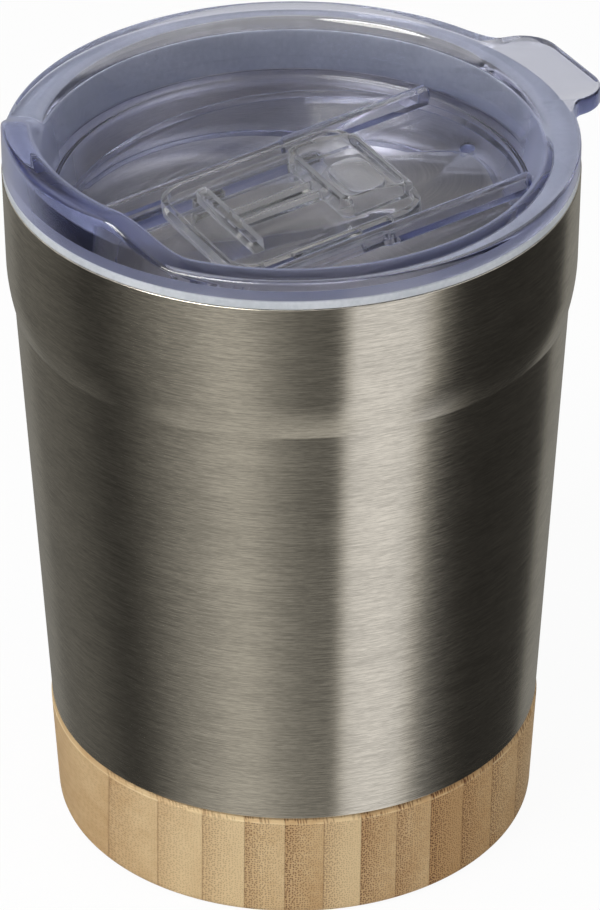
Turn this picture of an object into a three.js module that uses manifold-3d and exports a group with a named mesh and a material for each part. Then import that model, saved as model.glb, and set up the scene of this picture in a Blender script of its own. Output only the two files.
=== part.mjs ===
// Double-wall steel drinking mug on a laminated bamboo base, with a clear press-in lid and a slide closure.
// Millimetres, +Z up. The origin is the centre of the base's underside.
// The sip lip of the lid faces -Y and its lift tab faces +Y.
import * as THREE from "three";
import { mergeVertices } from "three/addons/utils/BufferGeometryUtils.js";
import Module from "manifold-3d";

const wasm = await Module();
wasm.setup();

// Driving dimensions of the steel mug
const baseHeight = 18; // table to steel
const bodyHeight = 69; // tapered wall, base to shoulder
const shoulderHeight = 7.5; // curved step below the upper band
const bandHeight = 14.3; // upper band, shoulder to rim
const rimRadius = 42; // outside of the steel at the rim
const bandDraft = 0.2; // how much the upper band narrows downwards
const shoulderStep = 1.08; // how far the shoulder steps in
const bodyTaper = 3.65; // how much the tapered wall narrows down to the base
const steelWall = 0.6;
const rimRound = 0.4; // outer edge of the rim
const weldGap = 0.1; // between welded steel pieces
const bandSpace = 0.4; // between the two walls in the upper band
const waistSpace = 1.92; // between the two walls below the shoulder
const footSpace = 2.47; // between the two walls at the base
const linerStepHeight = 6;
const floorRise = 2.6; // from the top of the base to the floor that the drink stands on
const linerCorner = 6; // rounding between the liner's wall and floor

// Driving dimensions of the bamboo base
const baseProud = 0.2; // how far the bamboo stands out past the steel above it
const baseTaper = 0.92; // how much the base narrows down to the table
const baseTopEdge = 0.7; // rounding of the base's upper edge
const baseFootEdge = 1.4; // rounding of the base's lower edge
const spigotStep = 3.2; // how far the shell draws in to enter the base
const spigotDepth = 11; // how deep it enters
const glueGap = 0.3; // between the spigot and its socket
const seatGap = 0.1; // between the shell's ledge and the base
const bottomThickness = 0.8; // steel disc that closes the shell
const stripWidth = 5.65; // bamboo strips, glue line to glue line
const stripOffset = 0.94; // from the axis to the nearest glue line
const leastStrip = 2; // a thinner end strip is left joined to its neighbour
const glueLine = 0.1;
const boardTurn = THREE.MathUtils.degToRad(75); // direction across the strips, from +X

// Driving dimensions of the lid
const sealBand = 1.4; // band of the seal that shows between steel and lid
const flangeThickness = 2.9;
const lidInset = 0.1; // how far the flange stays inside the steel rim
const bowlFlare = 1.7; // how much the bowl widens from its ledge to the flange
const ledgeWidth = 0.6; // narrow step in the bowl wall
const ledgeDepth = 9.1; // lid top to the ledge in the bowl wall
const lidEdge = 0.8; // rounding of the flange's edges
const sealRoom = 2.2; // between the seal's seat on the plug and the liner
const plugWall = 3.7; // thickness of the plug at the seal's seat
const plugTaper = 1.4; // how much the plug narrows downwards
const plugSkirt = 0.6; // how far the plug reaches below the deck
const beadReach = 1.2; // bead that keeps the seal on the plug
const beadHeight = 1;
const beadDepth = 5.4; // steel rim to the bead's upper side
const beadSlope = 0.8; // lead-in below the bead
const lipRise = 4.9; // sip lip above the flange
const lipLean = 1; // how far the lip's inner face leans out
const lipEdge = 1.2;
const lipHalfAngle = THREE.MathUtils.degToRad(21.4); // level part of the lip, to each side
const lipRampAngle = THREE.MathUtils.degToRad(17.1); // fall from the lip to the flange
const tabReach = 6.3; // beyond the flange
const tabWidth = 22;
const tabCorner = 5.5;
const tabThickness = 2.6;
const tabRootAngle = THREE.MathUtils.degToRad(25); // where the tab leaves the flange, to each side
const deckDepth = 13.1; // lid top to the deck, at the axis
const deckThickness = 2;
const deckTilt = THREE.MathUtils.degToRad(5.3); // the deck falls towards the sip lip
const railSpacing = 28.1; // clear width between the guide rails
const railHeight = 2.5;
const railWidth = 2; // rear part of a rail
const railSlimWidth = 1.3; // front part of a rail
const railStep = 7.3; // from the axis to the end of the wide part
const sipWidth = 14;
const sipLength = 7.5;
const sipInset = 4.75; // bowl wall to the sip hole
const ventRadius = 1.1;
const ventInset = 4.5; // bowl wall to the middle of the vent

// Driving dimensions of the seal
const sealSkin = 0.85; // thickness of its sleeve
const sealRecess = 0.25; // how far its flange stays inside the lid's
const sealGap = 0.1; // above and below its flange
const sealFit = 0.15; // between sleeve and plug
const lipClearance = 0.3; // between its lips and the liner
const sealLips = 2;

// Driving dimensions of the slide closure
const slideLength = 32;
const sipCover = 1.45; // how far the closed slide reaches past the sip hole
const slideSideGap = 0.55; // to each rail
const slideLift = 0.3; // above the deck
const slidePlate = 1.6;
const slideRimHeight = 2.95; // above the deck
const slideRim = 1; // thickness of the raised rim
const slideCorner = 5;
const thumbInset = 4.55; // slide's edge to the thumb wall
const thumbLength = 11.7; // from the slide's rear edge
const thumbHeight = 5.1; // above the deck
const thumbWall = 0.9;
const thumbCorner = 2.6;
const thumbFall = THREE.MathUtils.degToRad(14); // slope of the thumb wall's top towards the rear
const padEndGap = 0.9; // from the thumb pad to the windows and to the rear wall
const padSideGap = 3.2; // from the thumb pad to the side walls
const padHeight = 2.7; // above the deck
const windowWidth = 4.6;
const windowLength = 1.9;
const windowSpacing = 6.6;
const barSetback = 6; // slide's front edge to the cross bar
const barInset = 4.75; // slide's edge to the end of the cross bar
const barThickness = 1.8;
const barHeight = 4; // above the deck
const ribSpacing = 3.1;
const ribThickness = 0.9;
const ribHeight = 3.2; // above the deck
const legInset = 3.45; // rail to the middle of a snap leg
const legThickness = 1.5;
const legLength = 5;
const legSetback = 8; // slide's end to the middle of a leg
const legClearance = 0.4; // in the slot, and under the deck
const hookReach = 0.7;
const hookHeight = 1.2;

// Fineness of round shapes
const roundSteps = 64;
const curveSteps = 6;
const shoulderSteps = 4;
const edgeSteps = 3;
const sink = 0.5; // how deep joined shapes run into each other
const past = 1; // how far cutting shapes run past what they cut

// Sizes of the steel that follow from the driving dimensions
const shoulderFootZ = baseHeight + bodyHeight;
const shoulderTopZ = shoulderFootZ + shoulderHeight;
const rimZ = shoulderTopZ + bandHeight;
const bandRadius = rimRadius - bandDraft;
const waistRadius = bandRadius - shoulderStep;
const footRadius = waistRadius - bodyTaper;
const mouthRadius = bandRadius - bandSpace - 2 * steelWall;
const linerWaistRadius = waistRadius - waistSpace - 2 * steelWall;
const linerFootRadius = footRadius - footSpace - 2 * steelWall;
const linerFloorZ = baseHeight + floorRise;

// Sizes of the base that follow
const spigotRadius = footRadius - spigotStep;
const spigotFootZ = baseHeight - spigotDepth;
const baseTopRadius = footRadius + baseProud;
const baseFootRadius = baseTopRadius - baseTaper;

// Sizes of the lid that follow
const flangeZ = rimZ + sealBand;
const lidTopZ = flangeZ + flangeThickness;
const lipZ = lidTopZ + lipRise;
const deckZ = lidTopZ - deckDepth;
const ledgeZ = lidTopZ - ledgeDepth;
const beadZ = rimZ - beadDepth;
const lidRadius = rimRadius - lidInset;
const plugRadius = mouthRadius - sealRoom;
const plugFootRadius = plugRadius - plugTaper;
const beadRadius = plugRadius + beadReach;
const bowlRadius = plugRadius - plugWall;
const ledgeRadius = bowlRadius + ledgeWidth;
const bowlMouthRadius = ledgeRadius + bowlFlare;
const plugFootZ = deckZ - deckThickness - bowlRadius * Math.tan(deckTilt) - plugSkirt;
const sipDistance = bowlRadius - sipInset - sipLength / 2;
const ventDistance = bowlRadius - ventInset;

// Sizes of the slide closure that follow
const slideWidth = railSpacing - 2 * slideSideGap;
const slideTravel = sipDistance + sipLength / 2 + sipCover - slideLength / 2;
const thumbWidth = slideWidth - 2 * thumbInset;
const thumbFront = slideLength / 2 - thumbLength;
const padLength = thumbLength - 2 * thumbWall - windowLength - 2 * padEndGap;
const padWidth = thumbWidth - 2 * thumbWall - 2 * padSideGap;
const barDistance = slideLength / 2 - barSetback;
const barWidth = slideWidth - 2 * barInset;
const legSpacing = railSpacing - 2 * legInset;
const legDistance = slideLength / 2 - legSetback;

// A closed three.js geometry as a solid that can be joined and cut.
function solid(geometry) {
  const bare = geometry.index ? geometry.toNonIndexed() : geometry.clone();
  bare.deleteAttribute("normal");
  bare.deleteAttribute("uv");
  const merged = mergeVertices(bare, 1e-4);
  const vertProperties = merged.attributes.position.array;
  const triVerts = new Uint32Array(merged.index.array);
  return new wasm.Manifold(new wasm.Mesh({ numProp: 3, vertProperties, triVerts }));
}

// The other way round: a solid as a three.js geometry.
function geometryOf(body) {
  const { vertProperties, triVerts } = body.getMesh();
  const geometry = new THREE.BufferGeometry();
  geometry.setAttribute("position", new THREE.BufferAttribute(vertProperties, 3));
  geometry.setIndex(new THREE.BufferAttribute(triVerts, 1));
  geometry.computeVertexNormals();
  return geometry;
}

function join(...geometries) {
  return geometries.map(solid).reduce((whole, piece) => whole.add(piece));
}

// Turns a profile of [radius, height] pairs round the Z axis. The profile runs anticlockwise,
// and closes on itself unless it starts on the axis.
function turned(profile) {
  const points = profile.map(([radius, height]) => new THREE.Vector2(radius, height));
  if (profile[0][0] > 0) points.push(points[0].clone());
  return new THREE.LatheGeometry(points, roundSteps).rotateX(Math.PI / 2);
}

// Points of a quarter round about [radius, height], from one angle to another.
function rounding(radius, height, size, from, to) {
  return Array.from({ length: edgeSteps + 1 }, (_, i) => {
    const angle = THREE.MathUtils.lerp(from, to, i / edgeSteps);
    return [radius + size * Math.cos(angle), height + size * Math.sin(angle)];
  });
}

// Points of a smooth step between two [radius, height] pairs, without the first one.
function smoothStep(start, end) {
  return Array.from({ length: shoulderSteps }, (_, i) => {
    const share = (i + 1) / shoulderSteps;
    const eased = THREE.MathUtils.smoothstep(share, 0, 1);
    return [
      THREE.MathUtils.lerp(start[0], end[0], eased),
      THREE.MathUtils.lerp(start[1], end[1], share),
    ];
  });
}

// A flat outline, raised from one height to another.
function raised(shape, from, to) {
  const settings = { depth: to - from, bevelEnabled: false, curveSegments: curveSteps };
  return new THREE.ExtrudeGeometry(shape, settings).translate(0, 0, from);
}

// A block between two corners.
function block(low, high) {
  const size = high.map((value, i) => value - low[i]);
  const middle = high.map((value, i) => (value + low[i]) / 2);
  return new THREE.BoxGeometry(...size).translate(...middle);
}

// A rectangle with rounded corners, as a shape or as a hole in one.
function roundedRectangle(path, x0, y0, x1, y1, corner) {
  path.moveTo(x0 + corner, y0);
  path.lineTo(x1 - corner, y0);
  path.absarc(x1 - corner, y0 + corner, corner, -Math.PI / 2, 0);
  path.lineTo(x1, y1 - corner);
  path.absarc(x1 - corner, y1 - corner, corner, 0, Math.PI / 2);
  path.lineTo(x0 + corner, y1);
  path.absarc(x0 + corner, y1 - corner, corner, Math.PI / 2, Math.PI);
  path.lineTo(x0, y0 + corner);
  path.absarc(x0 + corner, y0 + corner, corner, Math.PI, 1.5 * Math.PI);
  return path;
}

// A rounded rectangular wall of even thickness, as a flat outline with a hole.
function roundedFrame(x0, y0, x1, y1, corner, wall) {
  const frame = roundedRectangle(new THREE.Shape(), x0, y0, x1, y1, corner);
  const inner = [x0 + wall, y0 + wall, x1 - wall, y1 - wall, corner - wall];
  frame.holes.push(roundedRectangle(new THREE.Path(), ...inner));
  return frame;
}

function named(name, geometry, finish) {
  const mesh = new THREE.Mesh(geometry, new THREE.MeshStandardMaterial(finish));
  mesh.name = name;
  return mesh;
}

// Outer shell: the rim is turned in to meet the liner, and the foot draws in to a spigot
function outerShell() {
  const ledgeUnderZ = baseHeight + seatGap;
  const outsideDown = [
    [rimRadius, rimZ - rimRound],
    [bandRadius, shoulderTopZ],
    ...smoothStep([bandRadius, shoulderTopZ], [waistRadius, shoulderFootZ]),
    [footRadius, ledgeUnderZ],
  ];
  const insideUp = outsideDown
    .map(([radius, height]) => [radius - steelWall, height])
    .reverse();
  insideUp[0][1] += steelWall;
  insideUp.at(-1)[1] = rimZ - steelWall;
  const rimInside = mouthRadius + steelWall + weldGap;
  return turned([
    [spigotRadius - steelWall, spigotFootZ],
    [spigotRadius, spigotFootZ],
    [spigotRadius, ledgeUnderZ],
    ...outsideDown.reverse(),
    ...rounding(rimRadius - rimRound, rimZ - rimRound, rimRound, 0, Math.PI / 2).slice(1),
    [rimInside, rimZ],
    [rimInside, rimZ - steelWall],
    ...insideUp.reverse(),
    [spigotRadius - steelWall, ledgeUnderZ + steelWall],
  ]);
}

// Inner liner: the cup that holds the drink
function innerLiner() {
  const stepFootZ = shoulderTopZ - linerStepHeight;
  const cornerZ = linerFloorZ + linerCorner;
  const cornerRadius = linerFootRadius - linerCorner;
  const insideUp = [
    ...rounding(cornerRadius, cornerZ, linerCorner, -Math.PI / 2, 0),
    [linerWaistRadius, stepFootZ],
    ...smoothStep([linerWaistRadius, stepFootZ], [mouthRadius, shoulderTopZ]),
  ];
  const outsideUp = insideUp.map(([radius, height]) => [radius + steelWall, height]);
  const cornerOutside = linerCorner + steelWall;
  outsideUp.splice(0, edgeSteps + 1, ...rounding(cornerRadius, cornerZ, cornerOutside, -Math.PI / 2, 0));
  return turned([
    [0, linerFloorZ - steelWall],
    ...outsideUp,
    [mouthRadius + steelWall, rimZ],
    [mouthRadius, rimZ],
    ...insideUp.reverse(),
    [0, linerFloorZ],
  ]);
}

// Steel disc welded into the foot of the shell
function shellBottom() {
  const radius = spigotRadius - steelWall - weldGap;
  return turned([
    [0, spigotFootZ],
    [radius, spigotFootZ],
    [radius, spigotFootZ + bottomThickness],
    [0, spigotFootZ + bottomThickness],
  ]);
}

// Bamboo base: turned from a board of edge-glued strips, with a socket for the spigot
function turnedBase() {
  const socketRadius = spigotRadius + glueGap;
  const socketZ = spigotFootZ - glueGap;
  return solid(
    turned([
      [0, 0],
      ...rounding(baseFootRadius - baseFootEdge, baseFootEdge, baseFootEdge, -Math.PI / 2, 0),
      ...rounding(baseTopRadius - baseTopEdge, baseHeight - baseTopEdge, baseTopEdge, 0, Math.PI / 2),
      [socketRadius, baseHeight],
      [socketRadius, socketZ],
      [0, socketZ],
    ]),
  );
}

function bambooStrips() {
  const base = turnedBase();
  const reach = baseTopRadius + past;
  const outermost = baseTopRadius - leastStrip;
  const cuts = [-reach];
  const firstLine = Math.ceil((-outermost - stripOffset) / stripWidth);
  for (let line = firstLine; stripOffset + line * stripWidth <= outermost; line++) {
    cuts.push(stripOffset + line * stripWidth);
  }
  cuts.push(reach);
  return cuts.slice(1).map((end, i) => {
    const low = [cuts[i] + glueLine / 2, -reach, -past];
    const high = [end - glueLine / 2, reach, baseHeight + past];
    return geometryOf(base.intersect(solid(block(low, high).rotateZ(boardTurn))));
  });
}

// Lid ring: flange, plug and bowl wall in one turned shape
function lidRing() {
  const underEdge = lidEdge / 2;
  return turned([
    [bowlRadius, plugFootZ],
    [plugFootRadius, plugFootZ],
    [THREE.MathUtils.lerp(plugFootRadius, plugRadius, 0.5), beadZ - beadHeight - beadSlope],
    [beadRadius, beadZ - beadHeight],
    [beadRadius, beadZ],
    [plugRadius, beadZ],
    [plugRadius, flangeZ],
    [lidRadius - underEdge, flangeZ],
    [lidRadius, flangeZ + underEdge],
    ...rounding(lidRadius - lidEdge, lidTopZ - lidEdge, lidEdge, 0, Math.PI / 2),
    ...rounding(bowlMouthRadius + lidEdge, lidTopZ - lidEdge, lidEdge, Math.PI / 2, Math.PI),
    [ledgeRadius, ledgeZ],
    [bowlRadius, ledgeZ],
  ]);
}

// Sip lip: a taller rim, kept only inside a window whose ends fall off in a smooth ramp
function sipLip() {
  const innerTop = bowlMouthRadius + lipLean;
  const rootZ = lidTopZ - lidEdge - sink;
  const rim = turned([
    [bowlMouthRadius, rootZ],
    [lidRadius, rootZ],
    ...rounding(lidRadius - lipEdge, lipZ - lipEdge, lipEdge, 0, Math.PI / 2),
    ...rounding(innerTop + lipEdge, lipZ - lipEdge, lipEdge, Math.PI / 2, Math.PI),
    [bowlMouthRadius, lidTopZ - lidEdge],
  ]);
  const levelX = lidRadius * Math.sin(lipHalfAngle);
  const footX = lidRadius * Math.sin(lipHalfAngle + lipRampAngle);
  const middleX = (levelX + footX) / 2;
  const topZ = lipZ + sink;
  const window = new THREE.Shape();
  window.moveTo(-footX, rootZ - past);
  window.lineTo(footX, rootZ - past);
  window.lineTo(footX, lidTopZ - sink);
  window.bezierCurveTo(middleX, lidTopZ - sink, middleX, topZ, levelX, topZ);
  window.lineTo(-levelX, topZ);
  window.bezierCurveTo(-middleX, topZ, -middleX, lidTopZ - sink, -footX, lidTopZ - sink);
  const windowSolid = raised(window, 0, lidRadius + past).rotateX(Math.PI / 2);
  return solid(rim).intersect(solid(windowSolid));
}

// Lift tab: leaves the flange in two hollow curves and ends in rounded corners
function liftTab() {
  const rootX = lidRadius * Math.sin(tabRootAngle);
  const rootY = lidRadius * Math.cos(tabRootAngle);
  const half = tabWidth / 2;
  const tipY = lidRadius + tabReach;
  const cornerY = tipY - tabCorner;
  const tangent = (cornerY - rootY) / 2;
  const leanX = rootX - tangent * Math.cos(tabRootAngle);
  const leanY = rootY + tangent * Math.sin(tabRootAngle);
  const outline = new THREE.Shape();
  outline.moveTo(-rootX, rootY);
  outline.lineTo(rootX, rootY);
  outline.bezierCurveTo(leanX, leanY, half, cornerY - tangent, half, cornerY);
  outline.absarc(half - tabCorner, cornerY, tabCorner, 0, Math.PI / 2);
  outline.lineTo(tabCorner - half, tipY);
  outline.absarc(tabCorner - half, cornerY, tabCorner, Math.PI / 2, Math.PI);
  outline.bezierCurveTo(-half, cornerY - tangent, -leanX, leanY, -rootX, rootY);
  return solid(raised(outline, flangeZ, flangeZ + tabThickness));
}

// Frame of the sloping deck: its own Z is square to the deck, with zero on the deck's surface
const deckFrame = new THREE.Matrix4()
  .makeTranslation(0, 0, deckZ)
  .multiply(new THREE.Matrix4().makeRotationX(deckTilt));

// Slots in the deck for the snap legs of the slide, long enough for its travel
function legSlots() {
  const halfWidth = legThickness / 2 + legClearance;
  const rearY = legDistance + legLength / 2 + legClearance;
  const frontY = -legDistance - legLength / 2 - legClearance - slideTravel;
  return [-1, 1].map((side) => {
    const x = (side * legSpacing) / 2;
    return block([x - halfWidth, frontY, -deckThickness - past], [x + halfWidth, rearY, past]);
  });
}

function guideRails() {
  const inner = railSpacing / 2;
  return [-1, 1].flatMap((side) =>
    [
      [railSlimWidth, -lidRadius],
      [railWidth, railStep],
    ].map(([width, startY]) => {
      const xs = [side * inner, side * (inner + width)].sort((a, b) => a - b);
      return block([xs[0], startY, -sink], [xs[1], lidRadius, railHeight]);
    }),
  );
}

// Deck with its rails, cut to the bowl and pierced by the sip hole, the vent and the slots
function deck() {
  const slab = block([-lidRadius, -lidRadius, -deckThickness], [lidRadius, lidRadius, 0]);
  const inWall = bowlRadius + sink;
  const bowl = turned([
    [0, plugFootZ],
    [inWall, plugFootZ],
    [inWall, lidTopZ],
    [0, lidTopZ],
  ]);
  const sipEnd = sipLength / 2;
  const sipShape = roundedRectangle(
    new THREE.Shape(),
    -sipWidth / 2,
    -sipDistance - sipEnd,
    sipWidth / 2,
    -sipDistance + sipEnd,
    sipEnd,
  );
  const sipHole = raised(sipShape, -deckThickness - past, past);
  const vent = new THREE.CylinderGeometry(ventRadius, ventRadius, 2 * deckThickness + past, 2 * curveSteps)
    .rotateX(Math.PI / 2)
    .translate(0, ventDistance, -deckThickness / 2);
  const plate = join(...[slab, ...guideRails()].map((piece) => piece.applyMatrix4(deckFrame)));
  const cuts = join(...[sipHole, vent, ...legSlots()].map((piece) => piece.applyMatrix4(deckFrame)));
  return plate.intersect(solid(bowl)).subtract(cuts);
}

function lidBody() {
  return geometryOf(solid(lidRing()).add(sipLip()).add(liftTab()).add(deck()));
}

// Seal: a sleeve with soft lips round the plug, and a flange between the lid and the steel rim
function lidSeal() {
  const inside = plugRadius + sealFit;
  const skin = inside + sealSkin;
  const lipRadius = mouthRadius - lipClearance;
  const footZ = beadZ + sealFit;
  const underFlangeZ = rimZ + sealGap;
  const pitch = (underFlangeZ - footZ) / sealLips;
  const lips = Array.from({ length: sealLips }, (_, i) => {
    const startZ = footZ + i * pitch;
    return [
      [skin, startZ],
      [lipRadius, startZ + pitch * 0.3],
      [lipRadius, startZ + pitch * 0.45],
      [skin, startZ + pitch * 0.7],
    ];
  }).flat();
  return turned([
    [inside, footZ],
    ...lips,
    [skin, underFlangeZ],
    [lidRadius - sealRecess, underFlangeZ],
    [lidRadius - sealRecess, flangeZ - sealGap],
    [inside, flangeZ - sealGap],
  ]);
}

// Slide closure, in the frame of the deck and shown open, as far back as it goes
function slideClosure() {
  const halfWidth = slideWidth / 2;
  const halfLength = slideLength / 2;
  const plateTop = slideLift + slidePlate;
  const plateSide = [-halfWidth, -halfLength, halfWidth, halfLength];
  const plate = raised(
    roundedRectangle(new THREE.Shape(), ...plateSide, slideCorner),
    slideLift,
    plateTop,
  );
  const rim = raised(roundedFrame(...plateSide, slideCorner, slideRim), plateTop - sink, slideRimHeight);
  const thumbSide = [-thumbWidth / 2, thumbFront, thumbWidth / 2, halfLength];
  const thumb = raised(roundedFrame(...thumbSide, thumbCorner, thumbWall), plateTop - sink, thumbHeight);
  const padY = (thumbFront + thumbWall + windowLength + halfLength) / 2;
  const pad = new THREE.CylinderGeometry(0.5, 0.5, 1, 3 * curveSteps)
    .rotateX(Math.PI / 2)
    .scale(padWidth, padLength, padHeight - plateTop + sink)
    .translate(0, padY, (padHeight + plateTop - sink) / 2);
  const bar = block(
    [-barWidth / 2, -barDistance - barThickness / 2, plateTop - sink],
    [barWidth / 2, -barDistance + barThickness / 2, barHeight],
  );
  const ribs = [-1, 1].map((side) => {
    const x = (side * ribSpacing) / 2;
    const half = ribThickness / 2;
    return block([x - half, -barDistance, plateTop - sink], [x + half, thumbFront + sink, ribHeight]);
  });
  const legs = [-1, 1].flatMap((side) => [-1, 1].flatMap((end) => snapLeg(side, end)));
  const windows = [-1, 1].map((side) => {
    const x = (side * windowSpacing) / 2;
    const y = thumbFront + thumbWall;
    return block(
      [x - windowWidth / 2, y, slideLift - past],
      [x + windowWidth / 2, y + windowLength, plateTop + past],
    );
  });
  const fall = block([-lidRadius, 0, 0], [lidRadius, lidRadius, lidRadius])
    .rotateX(-thumbFall)
    .translate(0, (thumbFront + halfLength) / 2, thumbHeight);
  const wall = solid(thumb).subtract(solid(fall));
  const whole = join(plate, rim, pad, bar, ...ribs, ...legs).add(wall);
  return geometryOf(whole.subtract(join(...windows)));
}

// A snap leg reaches down through its slot and hooks outwards under the deck
function snapLeg(side, end) {
  const x = (side * legSpacing) / 2;
  const half = legThickness / 2;
  const y0 = end * legDistance - legLength / 2;
  const y1 = end * legDistance + legLength / 2;
  const hookTop = -deckThickness - legClearance;
  const outer = side > 0 ? [x - half, x + half + hookReach] : [x - half - hookReach, x + half];
  return [
    block([x - half, y0, hookTop - hookHeight], [x + half, y1, slideLift + slidePlate / 2]),
    block([outer[0], y0, hookTop - hookHeight], [outer[1], y1, hookTop]),
  ];
}

// Finishes
const brushedSteel = { color: 0x8f887d, roughness: 0.34, metalness: 1 };
const linerSteel = { color: 0xa9a49b, roughness: 0.26, metalness: 1 };
const bamboo = { color: 0xcfa878, roughness: 0.62, metalness: 0 };
const clearBlue = { color: 0xd9def4, roughness: 0.06, metalness: 0, transparent: true, opacity: 0.35 };
const clearNeutral = { color: 0xe6e8ea, roughness: 0.08, metalness: 0, transparent: true, opacity: 0.4 };
const silicone = { color: 0xc4c6c8, roughness: 0.5, metalness: 0 };

const mug = new THREE.Group();
mug.add(named("outer_shell", outerShell(), brushedSteel));
mug.add(named("inner_liner", innerLiner(), linerSteel));
mug.add(named("shell_bottom", shellBottom(), linerSteel));
bambooStrips().forEach((strip, i) => {
  mug.add(named(`bamboo_strip_${String(i + 1).padStart(2, "0")}`, strip, bamboo));
});

const lid = new THREE.Group();
lid.add(named("lid_body", lidBody(), clearBlue));
lid.add(named("lid_seal", lidSeal(), silicone));

const slide = new THREE.Group();
slide.position.z = deckZ;
slide.rotation.x = deckTilt;
slide.add(named("slide_closure", slideClosure(), clearNeutral));
lid.add(slide);

const assembly = new THREE.Group();
assembly.add(mug, lid);

export default assembly;
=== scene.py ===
# %% [markdown]
# # A steel mug with a bamboo base and a clear slide lid
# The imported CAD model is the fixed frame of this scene. It fixes where every piece sits and how it moves.
# Here each piece gets a finer skin and the finish that the real one has: brushed steel, end-grain bamboo,
# tinted clear plastic and pale silicone. Everything stands in metres, in the frame of the CAD model. Sizes
# are written in millimetres and multiplied by MM where a mesh or a shader takes them.

# %% Load the frame
import bpy
import bmesh
import math
from mathutils import Matrix, Vector


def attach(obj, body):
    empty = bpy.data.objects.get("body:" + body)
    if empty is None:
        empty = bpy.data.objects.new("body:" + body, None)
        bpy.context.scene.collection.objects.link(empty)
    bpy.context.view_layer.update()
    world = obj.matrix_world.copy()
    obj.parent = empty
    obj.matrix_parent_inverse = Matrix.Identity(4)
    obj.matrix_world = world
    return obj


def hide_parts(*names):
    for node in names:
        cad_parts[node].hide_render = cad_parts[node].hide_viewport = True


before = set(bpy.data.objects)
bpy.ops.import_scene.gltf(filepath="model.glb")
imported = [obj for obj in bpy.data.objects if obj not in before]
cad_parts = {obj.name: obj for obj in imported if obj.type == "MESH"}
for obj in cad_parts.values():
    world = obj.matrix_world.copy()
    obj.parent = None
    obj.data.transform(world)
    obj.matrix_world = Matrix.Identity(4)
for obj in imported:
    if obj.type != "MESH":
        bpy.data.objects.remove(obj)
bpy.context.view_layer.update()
MM = 0.001

# %% [markdown]
# ## Looking at the mug
# The picture was taken from above with a long lens, so the sides of the mug hardly converge. A long focal
# length from about 0.9 m away gives the same drawing. The camera stands to the right of the sip lip.

# %% Camera
sensor_width, focal_length = 36, 222.77
camera_spot = (0.62184, -0.34469, 0.51098)
camera_angles = (57.5208, 0.1961, 60.7899)

lens = bpy.data.cameras.new("long_lens")
lens.sensor_width = sensor_width
lens.lens = focal_length
camera = bpy.data.objects.new("camera", lens)
camera.location = camera_spot
camera.rotation_euler = [math.radians(angle) for angle in camera_angles]
bpy.context.scene.collection.objects.link(camera)
bpy.context.scene.camera = camera
bpy.context.scene.view_settings.view_transform = "Standard"
toward_camera = math.atan2(camera.location.y, camera.location.x)
print("camera azimuth", round(math.degrees(toward_camera), 1))

# %% [markdown]
# ## Shader sums
# A finish is a small tree of nodes. Wrapping a socket in a class with overloaded operators lets the maths be
# written as plain sums. One method makes every other node: settings first, then the values of its sockets.

# %% A socket that can be used in sums
def connect(tree, port, value):
    """Gives a socket the result of another node, or a constant."""
    if isinstance(value, Value):
        tree.links.new(value.socket, port)
    elif port.type == "RGBA":
        port.default_value = (*value, 1)
    else:
        port.default_value = value


class Value:
    """A socket of a shader tree, for use in sums."""

    def __init__(self, tree, socket):
        self.tree, self.socket = tree, socket

    def maths(self, operation, *terms):
        node = self.tree.nodes.new("ShaderNodeMath")
        node.operation = operation
        for port, term in zip(node.inputs, terms):
            connect(self.tree, port, term)
        return Value(self.tree, node.outputs[0])

    def __add__(self, other):
        return self.maths("ADD", self, other)

    def __sub__(self, other):
        return self.maths("SUBTRACT", self, other)

    def __rsub__(self, other):
        return self.maths("SUBTRACT", other, self)

    def __mul__(self, other):
        return self.maths("MULTIPLY", self, other)

    def __truediv__(self, other):
        return self.maths("DIVIDE", self, other)

    def __abs__(self):
        return self.maths("ABSOLUTE", self)

    def __floor__(self):
        return self.maths("FLOOR", self)

    def larger(self, other):
        return self.maths("MAXIMUM", self, other)

    def fraction(self):
        return self.maths("FRACT", self)

    def angle_from(self, sideways):
        return self.maths("ARCTAN2", self, sideways)

    __radd__ = __add__


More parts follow.
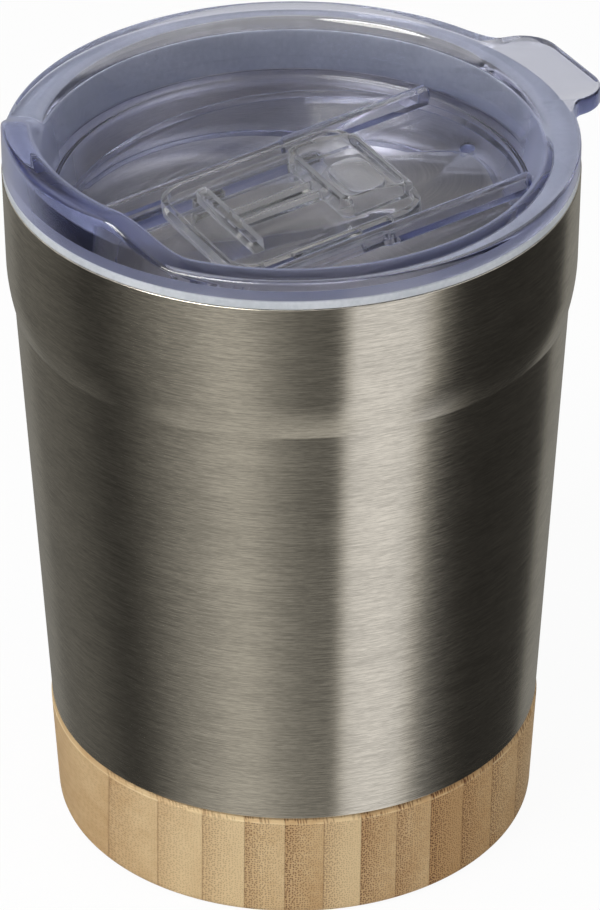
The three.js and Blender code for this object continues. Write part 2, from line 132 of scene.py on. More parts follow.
# %% A finish and its nodes
class Finish:
    """A shader tree of a material, or of another data block that has one."""

    def __init__(self, name, owner=None):
        self.owner = owner or bpy.data.materials.new(name)
        self.owner.use_nodes = True
        self.tree = self.owner.node_tree
        self.tree.nodes.clear()

    def node(self, kind, settings=None, sockets=None, out=0):
        """Any node. It gives the output that out names, or a list for several names."""
        node = self.tree.nodes.new("ShaderNode" + kind)
        for key, value in (settings or {}).items():
            if key == "stops":
                while len(node.color_ramp.elements) < len(value):
                    node.color_ramp.elements.new(1)
                for stop, (place, colour) in zip(node.color_ramp.elements, value):
                    stop.position, stop.color = place, (*colour, 1)
            else:
                setattr(node, key, value)
        for key, value in (sockets or {}).items():
            connect(self.tree, node.inputs[key], value)
        if isinstance(out, tuple):
            return [Value(self.tree, node.outputs[name]) for name in out]
        return Value(self.tree, node.outputs[out]) if node.outputs else None

    def place(self):
        """Where a point of the piece is, in metres along X, Y and Z of the frame."""
        spot = self.node("TexCoord", out="Object")
        return self.node("SeparateXYZ", sockets={"Vector": spot}, out=("X", "Y", "Z"))

    def noise(self, x, y, z, detail):
        """Soft noise from 0 to 1 with about one wave in each unit of x, y and z."""
        spot = self.node("CombineXYZ", sockets={"X": x, "Y": y, "Z": z})
        return self.node("TexNoise", sockets={"Vector": spot, "Scale": 1.0, "Detail": float(detail)})

    def band(self, value, low, high):
        """0 at low, 1 at high, and smooth between."""
        settings = {"interpolation_type": "SMOOTHSTEP"}
        return self.node("MapRange", settings, {"Value": value, "From Min": low, "From Max": high})

    def blend(self, share, first, second):
        """A colour between two colours, which are sockets 6 and 7 of this node."""
        return self.node("Mix", {"data_type": "RGBA"}, {0: share, 6: first, 7: second}, out=2)

    def bump(self, height, depth, strength):
        return self.node("Bump", sockets={"Height": height, "Distance": depth, "Strength": strength})

    def surface(self, sockets):
        shader = self.node("BsdfPrincipled", sockets=sockets)
        self.node("OutputMaterial", sockets={"Surface": shader})
        return self.owner


def paint(red, green, blue):
    """A colour as it is read off a screen, 0 to 255, in the linear light that shaders use."""
    return tuple(((c / 255 + 0.055) / 1.055) ** 2.4 for c in (red, green, blue))


# %% [markdown]
# ## Tools for round pieces
# Nearly everything here is turned or moulded, so two tools do most of the work: a line with rounded corners,
# and a lathe that turns such a line round the axis. Fine rounded edges matter, because they catch the light.

# %% Rounded corners
longest_reach = 0.48


def rounded(corners, steps, closed=True):
    """Points along a line through corners of (x, y, radius)."""
    points = []
    for i, (x, y, radius) in enumerate(corners):
        here = Vector((x, y))
        if radius == 0 or (not closed and i in (0, len(corners) - 1)):
            points.append(here)
            continue
        back = Vector(corners[i - 1][:2]) - here
        ahead = Vector(corners[(i + 1) % len(corners)][:2]) - here
        reach = radius / math.tan(back.angle(ahead) / 2)
        reach = min(reach, longest_reach * back.length, longest_reach * ahead.length)
        start, end = here + back.normalized() * reach, here + ahead.normalized() * reach
        for k in range(steps + 1):
            t = k / steps
            points.append((1 - t) ** 2 * start + 2 * t * (1 - t) * here + t * t * end)
    return points


# %% A lathe
sharp_angle = math.radians(32)
on_axis = 1e-6


def turned_mesh(profile, steps):
    """A line of (radius, height) in millimetres turned round Z: closed, or from axis to axis."""
    mesh = bmesh.new()
    angles = [2 * math.pi * k / steps for k in range(steps)]
    rings = []
    for radius, height in profile:
        if radius < on_axis:
            rings.append([mesh.verts.new((0, 0, height * MM))] * steps)
            continue
        spots = [(radius * math.cos(a) * MM, radius * math.sin(a) * MM, height * MM) for a in angles]
        rings.append([mesh.verts.new(spot) for spot in spots])
    closed = profile[0][0] > on_axis
    for low, high in zip(rings, rings[1:] + rings[:1] if closed else rings[1:]):
        for k in range(steps):
            after = (k + 1) % steps
            mesh.faces.new(list(dict.fromkeys([low[k], low[after], high[after], high[k]])))
    return mesh


def soft_shaded(data):
    data.shade_smooth()
    data.set_sharp_from_angle(angle=sharp_angle)


def finished(name, mesh):
    """Turns a bmesh into a smooth shaded piece whose real edges stay sharp."""
    bmesh.ops.recalc_face_normals(mesh, faces=mesh.faces)
    data = bpy.data.meshes.new(name)
    mesh.to_mesh(data)
    mesh.free()
    soft_shaded(data)
    piece = bpy.data.objects.new(name, data)
    bpy.context.scene.collection.objects.link(piece)
    return piece


def stand_for(piece, body, slot, finish, *nodes):
    """The piece takes the place of CAD nodes, moves with their body and gets its finish."""
    piece.data.materials.clear()
    piece.data.materials.append(finish)
    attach(piece, body)
    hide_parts(*nodes)
    print(piece.name, len(piece.data.polygons), "faces")


# %% [markdown]
# ## Brushed steel
# The shell is brushed round its axis with a fine abrasive. The scratches run level, so light spreads up and
# down far more than sideways: that is anisotropy, turned by a quarter. Stretched noise, long round the mug
# and very short up it, draws the scratches without a seam. A wider spread would reach the bright ceiling
# and leave white dashes on the dark stripes, so it is kept moderate.

# %% Brushed steel finish
def brushed_steel(name, colour, rough, spread, contrast):
    finish = Finish(name)
    x, y, z = finish.place()
    long_lines = finish.noise(x * 230, y * 230, z * 7600, 3)
    fine_lines = finish.noise(x * 800, y * 800, z * 12500, 2)
    patches = finish.noise(x * 60, y * 60, z * 260, 2)
    lines = long_lines * 0.55 + fine_lines * 0.45
    tone = finish.band(lines * 0.86 + patches * 0.14, 0.36, 0.64)
    dark, light = [tuple(c * k for c in colour) for k in (1 - contrast, 1 + contrast)]
    scratch_depth, scratch_strength = 0.01 * MM, 0.05
    return finish.surface({
        "Base Color": finish.blend(tone, dark, light),
        "Metallic": 1.0,
        "Roughness": rough + (lines - 0.5) * 0.15,
        "Anisotropic": spread,
        "Anisotropic Rotation": 0.25,
        "Normal": finish.bump(lines, scratch_depth, scratch_strength),
    })


shell_finish = brushed_steel("brushed_shell", (0.64, 0.597, 0.525), rough=0.2, spread=0.85, contrast=0.24)
# The liner is paler than the shell and than real steel. That extra paleness is painted light: it makes up for
# light that the closed cup loses over its many reflections in a render.
liner_finish = brushed_steel("satin_liner", (0.86, 0.84, 0.81), rough=0.38, spread=0.8, contrast=0.1)
print("steel finishes:", shell_finish.name, liner_finish.name)

# %% [markdown]
# ## Outer shell
# The shell is drawn sheet steel with a soft step under the upper band, a rim turned in at the top and a
# narrow spigot at the foot, which is glued into the base. It is turned from the same sizes as the CAD piece,
# with finer steps. The step is a parabola, whose slope changes evenly from the taper to the upright band.

# %% Outer shell
wall, bend = 0.6, 0.3
spigot_radius, spigot_foot = 33.87, 7
foot_radius, foot_height = 37.07, 18.1
taper_radius, taper_top, taper_bend = 40.72, 87, 1.5
step_rise, step_slope, band_slope, step_points = 7.5, 0.274, 0.0133, 14
rim_radius, rim_height, rim_inside = 42, 108.8, 40.9
round_steps = 240


def shoulder(inset):
    """The step under the band: it leans out just above the tapered wall and eases into the band."""
    line = []
    for k in range(1, step_points + 1):
        up = step_rise * k / step_points
        out = step_slope * up - (step_slope - band_slope) * up * up / (2 * step_rise)
        line.append((taper_radius - inset + out, taper_top + up, 0))
    return line


shell_outside = [
    (spigot_radius, spigot_foot, bend), (spigot_radius, foot_height, bend), (foot_radius, foot_height, bend),
    (taper_radius, taper_top, taper_bend), *shoulder(0), (rim_radius, rim_height, 0.12),
]
shell_inside = [
    (rim_inside, rim_height, 0), (rim_inside, rim_height - wall, 0),
    (rim_radius - wall, rim_height - wall, 0.2), *reversed(shoulder(wall)),
    (taper_radius - wall, taper_top, taper_bend), (foot_radius - wall, foot_height + wall, bend),
    (spigot_radius - wall, foot_height + wall, bend), (spigot_radius - wall, spigot_foot, 0),
]
shell = finished("steel_shell", turned_mesh(rounded(shell_outside + shell_inside, 6), round_steps))
stand_for(shell, "mug", "brushed_steel", shell_finish, "outer_shell")

# %% [markdown]
# ## Liner
# The liner is the cup inside the shell. It shows through the clear lid, or when the lid is lifted off.
# Its inner line is the outer one moved in by the wall. The disc that closes the foot of the shell is hidden
# in the base, so the CAD mesh itself serves for it and only gets the finish.

# %% Liner and bottom disc
liner_foot, liner_floor, floor_bend = 34, 20, 6.6
neck_radius, neck_height, neck_bend = 38.3, 90, 2.5
collar_radius, collar_height = 40.8, 93

liner_line = [
    (0, liner_floor, 0), (liner_foot, liner_floor, floor_bend), (neck_radius, neck_height, neck_bend),
    (collar_radius, collar_height, neck_bend), (collar_radius, rim_height, 0.1),
    (collar_radius - wall, rim_height, 0.3), (collar_radius - wall, collar_height, neck_bend),
    (neck_radius - wall, neck_height, neck_bend),
    (liner_foot - wall, liner_floor + wall, floor_bend - wall), (0, liner_floor + wall, 0),
]
liner = finished("steel_liner", turned_mesh(rounded(liner_line, 10, closed=False), round_steps))
stand_for(liner, "mug", "liner_steel", liner_finish, "inner_liner")
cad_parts["shell_bottom"].data.materials.clear()
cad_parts["shell_bottom"].data.materials.append(liner_finish)

# %% [markdown]
# ## Bamboo
# The base is turned from a board of edge-glued bamboo strips. Bamboo has no rings but bundles of fibres. They
# show as brown specks where they are cut across, and are densest near the rind. A cell texture across each
# strip draws the bundles. They fade where the turned surface runs along the grain, and noise stretched along
# the strips draws the fine hairs there.

# %% Strips of the board
board_turn = math.radians(75)
strip_width, strip_offset = 5.65, 0.94
strip_tones = [0.45, 0.55, 0.8, 0.8, 0.6, 0.45, 0.85, 0.35, 0.5, 0.15, 0.3, 0.4, 0.5, 0.5]
strip_count = len(strip_tones)
first_stop = 0.001
bevel_start = 17.25


def tone_of_strip(finish, index):
    """How pale a strip is. The strips count from minus half their number upwards."""
    stops = [(k / strip_count + first_stop, (tone, tone, tone)) for k, tone in enumerate(strip_tones)]
    place = (index + strip_count / 2) / strip_count + first_stop
    return finish.node("ValToRGB", {"stops": stops}, {"Fac": place})


def fibre_bundles(finish, inside, height, shift, wander):
    """Brown specks, larger towards the rind of a strip."""
    bundles_per_mm, bending = 2.6, 1.6
    spot = finish.node("CombineXYZ", sockets={
        "X": inside * (strip_width * bundles_per_mm) + shift + wander * bending,
        "Y": height * (bundles_per_mm / MM) + shift * 1.7 + wander * bending,
    })
    sockets = {"Vector": spot, "Scale": 1.0, "Randomness": 0.62}
    bundle = finish.node("TexVoronoi", {"voronoi_dimensions": "2D"}, sockets)
    size = 0.16 + (1 - inside) * 0.13
    return 1 - finish.band(bundle, size - 0.05, size + 0.14)


# %% Bamboo finish
def bamboo_finish():
    finish = Finish("laminated_bamboo")
    x, y, z = finish.place()
    across = x * math.cos(board_turn) + y * math.sin(board_turn)
    along = y * math.cos(board_turn) - x * math.sin(board_turn)
    count = (across / MM - strip_offset) / strip_width
    index = math.floor(count)
    inside = count - index
    rind = 1 - inside
    strip_tone = tone_of_strip(finish, index)
    shift = index * 3.7
    hairs = finish.noise(across * 900 + shift, along * 22, z * 900, 3)
    clouds = finish.noise(across * 150 + shift, along * 14, z * 60, 2)
    wander = finish.noise(across * 260 + shift, along * 6, z * 260, 2)
    on_bevel = (z - bevel_start * MM).larger(0.0)
    specks = fibre_bundles(finish, inside, z - on_bevel * 0.78, shift, wander)
    tone = finish.band(strip_tone * 0.7 + clouds * 0.4 + hairs * 0.3, 0.4, 1.0)
    wood = finish.blend(tone, paint(188, 150, 102), paint(222, 196, 152))
    wood = finish.blend(finish.band(rind, 0.4, 1.1) * 0.3, wood, paint(170, 126, 78))
    cut_across = finish.band(abs(along), 6 * MM, 18 * MM)
    end_grain = (0.4 + finish.band(across, -34 * MM, -10 * MM) * 0.6) * (0.25 + cut_across * 0.75)
    brown = specks * (1.2 - strip_tone * 0.75) * (0.5 + rind * 0.5) * end_grain
    wood = finish.blend(brown, wood, paint(98, 58, 26))
    glue = finish.band(abs(inside - 0.5), 0.47, 0.495)
    wood = finish.blend(glue * 0.22, wood, paint(140, 96, 54))
    # A pale line painted along the outer edge of the bevel, broken up by the clouds: a painted highlight on
    # that edge.
    from_edge = abs(z - (bevel_start + 0.02) * MM)
    painted_edge_highlight = (1 - finish.band(from_edge, 0.03 * MM, 0.15 * MM)) * finish.band(clouds, 0.3, 0.7)
    wood = finish.blend(painted_edge_highlight * 0.6, wood, paint(238, 216, 172))
    return finish.surface({
        "Base Color": wood,
        "Roughness": 0.48 + (hairs - 0.5) * 0.2 + specks * 0.12,
        "Specular IOR Level": 0.35,
        "Normal": finish.bump(hairs * 0.6 - specks * 0.5, 0.06 * MM, 0.5),
    })


bamboo = bamboo_finish()
print("bamboo finish:", bamboo.name, "with", strip_count, "strip tones")

# %% [markdown]
# ## Bamboo strips
# A real base is glued first and turned afterwards, so all strips share one outline. Here each strip starts as
# the whole turned base. Two planes cut away all but the strip, and the cuts are filled. Every strip stays its
# own piece, as in the CAD model.

# %% Bamboo strips
base_radius, base_edge = 36.35, 1.5
bevel_radius, top_radius, base_top = 37.23, 36.6, 17.97
glue_gap, saw_gap = 0.3, 0.03
beyond = 40
socket_radius, socket_floor = spigot_radius + glue_gap, spigot_foot - glue_gap

base_line = rounded([
    (0, 0, 0), (base_radius, 0, base_edge), (bevel_radius, bevel_start, 0.1), (top_radius, base_top, 0.1),
    (socket_radius, base_top, 0.2), (socket_radius, socket_floor, 0.2), (0, socket_floor, 0),
], 6, closed=False)
across_board = Vector((math.cos(board_turn), math.sin(board_turn), 0))


def sawn_strip(number, start, end):
    mesh = turned_mesh(base_line, 256)
    for place, side in ((start + saw_gap / 2, -1), (end - saw_gap / 2, 1)):
        cut = bmesh.ops.bisect_plane(
            mesh, geom=mesh.verts[:] + mesh.edges[:] + mesh.faces[:], plane_co=across_board * place * MM,
            plane_no=across_board * side, clear_outer=True)
        edges = [e for e in cut["geom_cut"] if isinstance(e, bmesh.types.BMEdge)]
        if edges:
            bmesh.ops.triangle_fill(mesh, edges=edges, use_beauty=True)
    strip = finished(f"bamboo_{number:02d}", mesh)
    stand_for(strip, "mug", "bamboo", bamboo, f"bamboo_strip_{number:02d}")


half = strip_count // 2
glue_lines = [strip_offset + strip_width * k for k in range(1 - half, half)]
for number, (start, end) in enumerate(zip([-beyond] + glue_lines, glue_lines + [beyond]), 1):
    sawn_strip(number, start, end)

# %% [markdown]
# ## Clear plastic
# Lid and slide are moulded from clear plastic. The lid looks blue-violet where one looks along its walls,
# and colourless through its thin deck. Absorption inside the piece does just that: the longer the way, the
# deeper the tint. Real walls also gather light over many reflections, more than a render follows, and
# would turn black here. So the light bends less than in real plastic, and a faint milky veil lies on edges
# and on walls seen at a slant. The slide is almost colourless, and its thumb pad is frosted.

# %% Clear plastic finish
def clear_plastic(name, bend, tint, density, edge_colour, frost=None):
    finish = Finish(name)
    x, y, z = finish.place()
    ripple = finish.noise(x * 120, y * 120, z * 120, 1)
    scuffs = finish.noise(x * 900, y * 2600, z * 900, 3)
    scuffed = finish.band(scuffs, 0.62, 0.8) * 0.15
    clear = finish.node("BsdfPrincipled", sockets={
        "Base Color": finish.blend(scuffed, (0.985, 0.986, 0.99), (0.9, 0.92, 0.96)),
        "Transmission Weight": 1.0,
        "IOR": bend,
        "Roughness": finish.band(scuffs, 0.62, 0.78) * 0.03,
        "Coat Weight": 1.0,
        "Normal": finish.bump(ripple, 0.1 * MM, 0.1),
    })
    milky = finish.node("BsdfPrincipled", sockets={"Base Color": edge_colour, "Roughness": 0.3})
    around = finish.node("Bevel", {"samples": 6}, {"Radius": 0.3 * MM})
    here = finish.node("NewGeometry", out="Normal")
    same = finish.node("VectorMath", {"operation": "DOT_PRODUCT"}, {0: around, 1: here}, out="Value")
    slant = finish.node("LayerWeight", sockets={"Blend": 0.5}, out="Facing")
    on_edge, on_slant = finish.band(1 - same, 0.02, 0.2), finish.band(slant, 0.45, 0.75)
    veil = (on_edge * 0.5).larger(on_slant * 0.5) + 0.015
    if frost:
        veil = veil + frost(finish, x, y) * 0.14
    both = finish.node("MixShader", sockets={0: veil, 1: clear, 2: milky})
    depth = finish.node("VolumeAbsorption", sockets={"Color": tint, "Density": density})
    finish.node("OutputMaterial", sockets={"Surface": both, "Volume": depth})
    return finish.owner


# %% Lid and slide plastic
pad_half_width, pad_half_length, pad_middle = 4.6, 2.9, 11


def thumb_frost(finish, x, y):
    """1 inside the rounded thumb pad of the slide, 0 outside."""
    right, back = x / (pad_half_width * MM), (y - pad_middle * MM) / (pad_half_length * MM)
    right, back = right * right, back * back
    return 1 - finish.band(right * right + back * back, 0.85, 1.05)


lid_finish = clear_plastic("clear_lid", 1.28, (0.53, 0.58, 0.95), 70.0, paint(180, 186, 216))
slide_finish = clear_plastic(
    "clear_slide", 1.18, (0.86, 0.88, 0.95), 20.0, paint(205, 206, 212), thumb_frost)
print("plastic finishes:", lid_finish.name, slide_finish.name)

# %% [markdown]
# ## Lid ring
# The ring carries the flange, the raised sip lip, the lift tab and the plug wall. Its section changes round
# the mug: it grows tall at the lip and reaches out at the tab. So it is lofted: one rounded section for
# every angle, then faces between neighbouring sections.

# %% Plan of the tab
lid_radius, tab_half, tab_tip, tab_corner = 41.9, 11, 48.2, 5.5
root = math.radians(25)
side_steps, corner_steps = 14, 10


def tab_plan():
    """Outer edge of the lift tab, from its +X root to its -X root, as (x, y)."""
    root_x, root_y = lid_radius * math.sin(root), lid_radius * math.cos(root)
    corner_y = tab_tip - tab_corner
    lean = (corner_y - root_y) / 2
    a = Vector((root_x, root_y))
    b = Vector((root_x - lean * math.cos(root), root_y + lean * math.sin(root)))
    c, d = Vector((tab_half, corner_y - lean)), Vector((tab_half, corner_y))
    side = []
    for k in range(side_steps + 1):
        t = k / side_steps
        side.append((1 - t) ** 3 * a + 3 * t * (1 - t) ** 2 * b + 3 * t * t * (1 - t) * c + t ** 3 * d)
    middle = Vector((tab_half - tab_corner, corner_y))
    for k in range(1, corner_steps + 1):
        turn = math.pi / 2 * k / corner_steps
        side.append(middle + tab_corner * Vector((math.cos(turn), math.sin(turn))))
    tip = [Vector((x, tab_tip)) for x in (4, 2, 0, -2, -4)]
    return side + tip + [Vector((-p.x, p.y)) for p in reversed(side)]


# %% Height of the lip
lip_middle, lip_half, lip_ramp = 270, 38.5, 17.1


def lip_share(angle):
    """1 on the level part of the sip lip, 0 outside it, with a smooth ramp between."""
    away = abs(math.degrees(angle) % 360 - lip_middle)
    t = min(max((lip_half - away) / lip_ramp, 0), 1)
    return t * t * (3 - 2 * t)


# %% Loft the ring
plug_inside, plug_radius, plug_foot, ledge_height = 34.3, 36.6, 94.2, 104
bead_radius, bead_bottom, bead_top = 39.2, 102.4, 103.4
groove_radius, flange_bottom, flange_top, lip_rise = 38, 110.2, 113.1, 4.9
tab_fall = 0.25
ring_steps = 260


def lid_section(reach, tab, lip):
    """Rounded section of the ring: reach of its outer edge, share of tab and share of lip."""
    top = flange_top + lip_rise * lip
    return rounded([
        (plug_inside, plug_foot, 0.2), (plug_radius, plug_foot, 0.5), (37.3, 101.6, 1),
        (bead_radius, bead_bottom, 0.3), (bead_radius, bead_top, 0.2),
        (groove_radius, bead_top, 0.2), (groove_radius, flange_bottom, 0.3),
        (reach, flange_bottom, 0.2), (reach, top - tab_fall * tab, 0.8 + 0.5 * lip),
        (plug_radius + lip, top, 2.3), (34.9, ledge_height, 0.3), (plug_inside, ledge_height, 0.3),
    ], 5)


def lid_ring():
    plan = [(math.atan2(p.y, p.x), p.length) for p in tab_plan()]
    start, end = math.pi / 2 + root, math.pi * 5 / 2 - root
    plan += [(start + (end - start) * k / ring_steps, lid_radius) for k in range(1, ring_steps)]
    mesh = bmesh.new()
    columns = []
    for angle, reach in plan:
        tab = min(max((reach - lid_radius) / 3, 0), 1)
        section = lid_section(reach, tab, lip_share(angle))
        spin = Matrix.Rotation(angle, 3, "Z")
        columns.append([mesh.verts.new(spin @ Vector((p.x, 0, p.y)) * MM) for p in section])
    for left, right in zip(columns, columns[1:] + columns[:1]):
        for k in range(len(left)):
            after = (k + 1) % len(left)
            mesh.faces.new((left[k], right[k], right[after], left[after]))
    return finished("clear_lid_ring", mesh)


ring = lid_ring()
print("lid ring", len(ring.data.polygons), "faces")

# %% [markdown]
# ## Plates
# Deck, rails and slide are flat shapes with soft edges. Each is an outline, perhaps with holes, raised to a
# height in the frame of the sloping deck and bevelled a little. Overlapping plates are then joined with a
# boolean, because clear plastic must have no walls inside it.

# %% Plates with holes and soft edges
deck_height, deck_slope = 100, math.radians(5.3)
deck_frame = Matrix.Translation((0, 0, deck_height * MM)) @ Matrix.Rotation(deck_slope, 4, "X")
flat_angle, rim_angle = 0.01, math.radians(50)


def plate(name, outline, low, high, holes=(), edge=0.2, fall=None):
    """A flat outline in millimetres, raised from low to high in the frame of the deck."""
    mesh = bmesh.new()
    loops, edges = [], []
    for line in [outline, *holes]:
        loop = [mesh.verts.new((p[0] * MM, p[1] * MM, low * MM)) for p in line]
        edges += [mesh.edges.new((loop[k - 1], loop[k])) for k in range(len(loop))]
        loops.append(loop)
    bmesh.ops.triangle_fill(mesh, edges=edges, use_beauty=True)
    floor_faces = mesh.faces[:]
    top = {v: mesh.verts.new((v.co.x, v.co.y, high * MM)) for loop in loops for v in loop}
    for face in floor_faces:
        mesh.faces.new([top[v] for v in reversed(face.verts[:])])
    for loop in loops:
        for k in range(len(loop)):
            mesh.faces.new((loop[k - 1], loop[k], top[loop[k]], top[loop[k - 1]]))
    bmesh.ops.recalc_face_normals(mesh, faces=mesh.faces)
    if not holes:
        flat = [e for e in mesh.edges if e.calc_face_angle(0) < flat_angle]
        bmesh.ops.dissolve_edges(mesh, edges=flat, use_verts=False)
    rims = [e for e in mesh.edges if e.is_manifold and e.calc_face_angle(0) > rim_angle]
    bmesh.ops.bevel(
        mesh, geom=rims, offset=edge * MM, segments=2, profile=0.5, affect="EDGES", clamp_overlap=True)
    if fall:
        for v in mesh.verts:
            if v.co.z > (low + 1) * MM:
                v.co.z -= fall(v.co.y / MM) * MM
    bmesh.ops.transform(mesh, matrix=deck_frame, verts=mesh.verts)
    return finished(name, mesh)


def joined(piece, tools):
    """One moulding out of several overlapping pieces."""
    for tool in tools:
        step = piece.modifiers.new("join", "BOOLEAN")
        step.operation, step.solver, step.object = "UNION", "EXACT", tool
    bpy.context.view_layer.update()
    whole = piece.evaluated_get(bpy.context.evaluated_depsgraph_get())
    data = bpy.data.meshes.new_from_object(whole)
    piece.modifiers.clear()
    piece.data = data
    for tool in tools:
        bpy.data.objects.remove(tool)
    soft_shaded(data)
    return piece


# %% Outlines of plates and holes
def circle(x, y, radius, count):
    angles = [2 * math.pi * k / count for k in range(count)]
    return [(x + radius * math.cos(a), y + radius * math.sin(a)) for a in angles]


def box_line(x0, y0, x1, y1, corner, steps):
    return rounded([(x0, y0, corner), (x1, y0, corner), (x1, y1, corner), (x0, y1, corner)], steps)


def bar(name, x0, y0, x1, y1, low, high):
    return plate(name, box_line(x0, y0, x1, y1, 0.3, 3), low, high)


# %% [markdown]
# ## Deck and rails
# The deck closes the ring and slopes towards the sip hole, so that spilled drops run back. It has a vent at
# the back and a slot on each side for the legs of the slide, and two rails guide the slide.

# %% Deck and rails
deck_radius, deck_thickness = 34.65, 2
leg_middle, slot_half = 10.6, 1.15
rail_end, rail_low, rail_high = 31.8, -0.5, 2.5

sip_hole = box_line(-7, -29.55, 7, -22.05, 3.7, 8)
vent = circle(0, 29.8, 1.1, 24)
leg_slots = [box_line(x - slot_half, -25.9, x + slot_half, 10.9, 0.5, 3) for x in (-leg_middle, leg_middle)]
deck = plate("deck", circle(0, 0, deck_radius, 180), -deck_thickness, 0, [sip_hole, vent, *leg_slots])
rail_plan = rounded([
    (14.05, -rail_end, 0), (15.35, -rail_end, 0), (15.35, 6.6, 0.8), (16.05, 7.6, 0.8),
    (16.05, rail_end, 0), (14.05, rail_end, 0),
], 4)
rails = [
    plate("rail_right", rail_plan, rail_low, rail_high),
    plate("rail_left", [(-x, y) for x, y in reversed(rail_plan)], rail_low, rail_high),
]
lid = joined(ring, [deck, *rails])
stand_for(lid, "lid", "clear_blue", lid_finish, "lid_body")

# %% [markdown]
# ## Slide closure
# The slide is a shallow tray with a thumb wall that falls away to the back, a frosted pad inside it, a cross
# bar and two ribs. Four hooked legs reach through the slots of the deck. Every plate sinks a little into the
# tray, so that the boolean finds a clear overlap.

# %% Thumb wall
thumb_half, thumb_front, thumb_back, thumb_corner = 8.9, 4.3, 15.96, 2.6
thumb_steps = (6.9, 8.5, 10.15, 11.8, 13.4)
fall_start, fall_slope = 10.15, math.tan(math.radians(14))


def thumb_fall(y):
    return max(0, y - fall_start) * fall_slope


thumb_plan = rounded([
    (-thumb_half, thumb_front, thumb_corner), (thumb_half, thumb_front, thumb_corner),
    *[(thumb_half, y, 0) for y in thumb_steps],
    (thumb_half, thumb_back, thumb_corner), (-thumb_half, thumb_back, thumb_corner),
    *[(-thumb_half, y, 0) for y in reversed(thumb_steps)],
], 5)
print("thumb wall outline", len(thumb_plan), "points")

# %% Tray, wall, pad, bar and ribs
tray_low, tray_top, sunk = 0.3, 1.9, 1.6


def tray_line(half_width, y0, y1, corner):
    return box_line(-half_width, y0, half_width, y1, corner, 6)


windows = [box_line(x - 2.3, 5.2, x + 2.3, 7.1, 0.3, 3) for x in (-3.3, 3.3)]
slide = plate("clear_slide", tray_line(13.5, -16, 16, 5), tray_low, tray_top, windows)
slide_pieces = [
    plate("slide_rim", tray_line(13.48, -15.98, 15.98, 5), 1.5, 2.95, [tray_line(12.5, -15, 15, 4)]),
    plate("thumb_wall", thumb_plan, sunk, 5.1, [tray_line(8, 5.2, 15.1, 1.7)], fall=thumb_fall),
    plate("thumb_pad", tray_line(4.8, 8, 14.2, 2.7), sunk, 2.7, edge=0.3),
    bar("cross_bar", -8.75, -10.9, 8.75, -9.1, sunk, 4),
    bar("rib_left", -2, -10.1, -1.1, 4.8, sunk, 3.2),
    bar("rib_right", 1.1, -10.1, 2, 4.8, sunk, 3.2),
]

# %% Legs with hooks
leg_half, hook_reach = 0.75, 0.7
leg_foot, leg_top, hook_top = -3.6, 1.1, -2.4

for side in (-1, 1):
    for end in (-8, 8):
        x0, x1 = side * leg_middle - leg_half, side * leg_middle + leg_half
        hook_x0, hook_x1 = (x0 - hook_reach, x1) if side < 0 else (x0, x1 + hook_reach)
        slide_pieces.append(bar("leg", x0, end - 2.5, x1, end + 2.5, leg_foot, leg_top))
        slide_pieces.append(bar("hook", hook_x0, end - 2.48, hook_x1, end + 2.48, leg_foot + 0.02, hook_top))
joined(slide, slide_pieces)
stand_for(slide, "slide", "clear_neutral", slide_finish, "slide_closure")

# %% [markdown]
# ## Seal
# A pale silicone ring sits on the plug. Its two soft lips press on the liner of a real mug; here they stand
# just clear of it. Its flange shows as the light band between lid and steel. Silicone is matt and picks up
# fine dust, so one noise varies its roughness and two its colour. A thin air gap to the lid is kept, so that
# the underside of the clear ring still mirrors.

# %% Silicone finish
def silicone_finish():
    finish = Finish("pale_silicone")
    x, y, z = finish.place()
    dust = finish.noise(x * 1400, y * 1400, z * 1400, 3)
    clouds = finish.noise(x * 90, y * 90, z * 90, 2)
    tone = finish.band(dust * 0.4 + clouds * 0.6, 0.35, 0.68)
    return finish.surface({
        "Base Color": finish.blend(tone, paint(192, 197, 204), paint(212, 216, 222)),
        "Roughness": 0.42 + (dust - 0.5) * 0.25,
        "Normal": finish.bump(dust, 0.03 * MM, 0.4),
    })


silicone = silicone_finish()
print("seal finish:", silicone.name)

# %% Silicone seal
seal_inside, seal_body, seal_lip, seal_flange = 38.15, 39, 39.9, 41.86
seal_foot, flange_low, seal_top = 103.55, 108.84, 110.1
edge, soft = 0.15, 0.2

seal_line = rounded([
    (seal_inside, seal_foot, edge), (seal_body, seal_foot, edge),
    (seal_lip, 104.4, soft), (seal_lip, 104.8, soft), (seal_body, 105.5, soft), (seal_body, 106.2, soft),
    (seal_lip, 107, soft), (seal_lip, 107.4, soft), (seal_body, 108.1, soft), (seal_body, flange_low, soft),
    (seal_flange, flange_low, edge), (seal_flange, seal_top, edge), (seal_inside, seal_top, edge),
], 4)
seal = finished("silicone_seal", turned_mesh(seal_line, round_steps))
stand_for(seal, "lid", "silicone", silicone, "lid_seal")

# %% [markdown]
# ## Floor
# The mug stands on a plain white floor under soft light. The floor is partly self-lit for the camera, so it
# renders white and still keeps the shadow of the mug. Light that comes through the lid sees a little of that
# glow, and the steel sees none of it.

# %% Floor
def studio_floor():
    finish = Finish("white_floor")
    camera_ray, through_ray = finish.node("LightPath", out=("Is Camera Ray", "Is Transmission Ray"))
    share = camera_ray * 0.94 + through_ray * 0.05
    x, y, z = finish.place()
    speck = finish.noise(x * 400, y * 400, z * 400, 2)
    colour = finish.blend(speck, (0.88, 0.88, 0.88), (0.92, 0.92, 0.92))
    matt = finish.node("BsdfDiffuse", sockets={"Color": colour})
    white = finish.node("Emission", sockets={"Color": (1.0, 1.0, 1.0), "Strength": 1.0})
    both = finish.node("MixShader", sockets={0: share, 1: matt, 2: white})
    finish.node("OutputMaterial", sockets={"Surface": both})
    return finish.owner


sheet = bmesh.new()
bmesh.ops.create_grid(sheet, x_segments=8, y_segments=8, size=3)
floor = finished("floor", sheet)
floor.data.materials.append(studio_floor())
floor.visible_glossy = False
print("floor", tuple(round(side, 2) for side in floor.dimensions), "m")

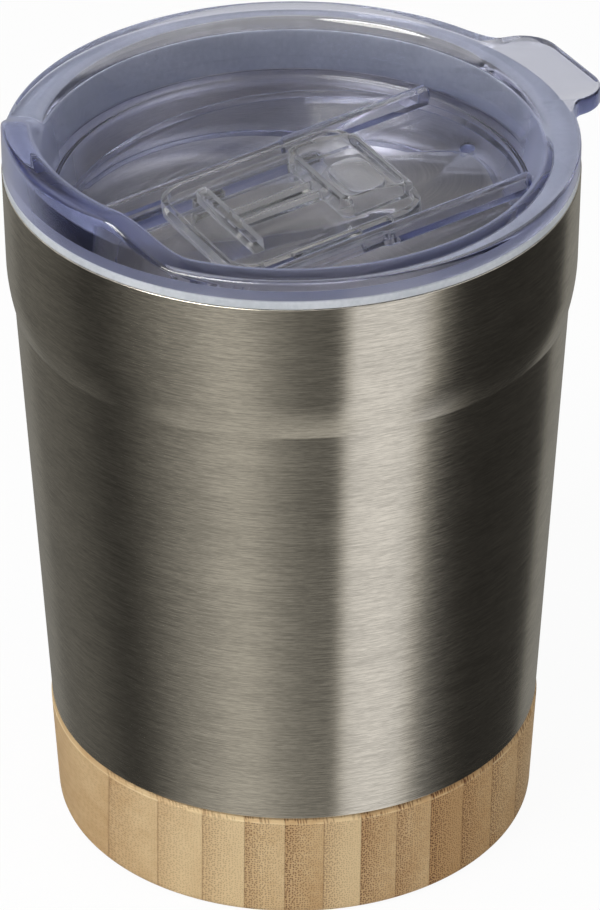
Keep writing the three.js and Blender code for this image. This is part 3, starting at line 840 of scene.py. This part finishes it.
# %% [markdown]
# ## Cards round the mug
# Brushed metal shows nothing but what surrounds it, so a photographer sets white, grey and black cards round
# it. Here the world plays the cards. A list holds (degrees to the right of the camera, brightness): upright
# bands that the walls show, low bands that run together and draw out the shoulder, and sky bands for what
# leans upwards. A small dark gap behind the mug keeps the front face of the clear lid slate grey.

# %% Brightness of the cards
upright_bands = [
    (-180, 0.24), (-147, 0.24), (-143, 0.15), (-124, 0.14), (-102, 0.09), (-90, 0.048), (-80, 0.052),
    (-70, 0.095), (-56, 0.2), (-43, 0.32), (-31, 0.48), (-22, 0.49), (-15, 0.41), (-7, 0.27), (4, 0.145),
    (14, 0.11), (19, 0.12), (22, 0.45), (25, 0.84), (41, 0.88), (52, 0.76), (57, 0.48), (62, 0.15),
    (70, 0.036), (81, 0.029), (97, 0.027), (114, 0.033), (139, 0.045), (142, 0.27), (180, 0.25),
]
low_bands = [
    (-180, 0.3), (-125, 0.08), (-92, 0.06), (-76, 0.3), (-62, 0.52), (28, 0.54), (38, 0.9), (78, 0.85),
    (90, 0.4), (102, 0.1), (130, 0.1), (180, 0.3),
]
sky_bands = [
    (-180, 0.42), (-150, 0.42), (-125, 1.0), (-80, 1.0), (-58, 0.45), (0, 0.4), (45, 0.5), (60, 1.0),
    (115, 1.0), (150, 0.42), (180, 0.42),
]
print("cards:", len(upright_bands), "upright,", len(low_bands), "low,", len(sky_bands), "sky stops")

# %% Directions in the studio
sky = bpy.data.worlds.new("studio")
bpy.context.scene.world = sky
studio = Finish("studio", sky)
direction = studio.node("TexCoord", out="Generated")
right, ahead, up = studio.node("SeparateXYZ", sockets={"Vector": direction}, out=("X", "Y", "Z"))
round_mug = ((ahead.angle_from(right) - toward_camera) / (2 * math.pi) + 0.5).fraction()
bright_card, warm_share = 0.7, 0.9


def bands(levels):
    """Brightness round the mug. The grey cards are a little warm, the bright ones are white."""
    stops = []
    for angle, level in levels:
        warmth = warm_share if level < bright_card else 1
        colour = (level, level * (0.8 + 0.2 * warmth), level * warmth)
        stops.append(((angle + 180) / 360, colour))
    return studio.node("ValToRGB", {"stops": stops}, {"Fac": round_mug})


def nearness(angle, height):
    """1 in the direction at these angles, right of the camera and above the table, and less away from it."""
    turn, tilt = toward_camera + math.radians(angle), math.radians(height)
    level_part = right * (math.cos(turn) * math.cos(tilt)) + ahead * (math.sin(turn) * math.cos(tilt))
    return level_part + up * math.sin(tilt)


# %% Cards, as the metal sees them
steep, raised = studio.band(up, -0.7, -0.86), studio.band(up, 0.1, 0.3)
lifted, top = studio.band(up, 0.3, 0.55), studio.band(up, 0.86, 0.96)
ceiling = studio.blend(top, bands(sky_bands), (0.9, 0.9, 0.9))
walls = studio.blend(steep, bands(upright_bands), bands(low_bands))
gap = studio.band(nearness(180, 16), 0.92, 0.97)
cards = studio.blend(gap, studio.blend(lifted, walls, ceiling), (0.09, 0.09, 0.09))

# %% [markdown]
# ## Soft light
# Only reflected rays see the cards, and rays that leave the clear lid upwards. The camera sees white, and
# matt surfaces get an even grey light. One bright spot stands for the softbox that glints in the lid and the
# rim. Two square lamps give the soft shadow. They don't show in reflections: the cards take their place.

# %% World light
ray_kinds = ("Is Camera Ray", "Is Glossy Ray", "Is Transmission Ray")
camera_ray, glossy_ray, through_ray = studio.node("LightPath", out=ray_kinds)
straight = glossy_ray * (1 - through_ray)
mirrored = straight + through_ray * raised
plain = camera_ray + through_ray * (1 - raised)
level = studio.blend(mirrored, studio.blend(plain, (0.5, 0.5, 0.5), (1.0, 1.0, 1.0)), cards)
glare = studio.band(nearness(-50, 55), 0.94, 0.965)
strength = 1 + glare * (straight * 22 + through_ray * 1.5)
glow = studio.node("Background", sockets={"Color": level, "Strength": strength})
studio.node("OutputWorld", sockets={"Surface": glow})

# %% Lamps
aim = Vector((0, 0, 0.06))


def softbox(name, angle, height, distance, size, power):
    """A square lamp, at an angle to the right of the camera, that looks at the mug."""
    lamp = bpy.data.lights.new(name, "AREA")
    lamp.size, lamp.energy = size, power
    box = bpy.data.objects.new(name, lamp)
    turn = toward_camera + math.radians(angle)
    box.location = (distance * math.cos(turn), distance * math.sin(turn), height)
    box.rotation_euler = (aim - box.location).to_track_quat("-Z", "Y").to_euler()
    box.visible_glossy = False
    bpy.context.scene.collection.objects.link(box)
    print(name, "lamp", power, "W")


softbox("key", angle=-45, height=0.9, distance=0.7, size=0.5, power=5.5)
softbox("fill", angle=60, height=0.8, distance=0.8, size=0.6, power=1)
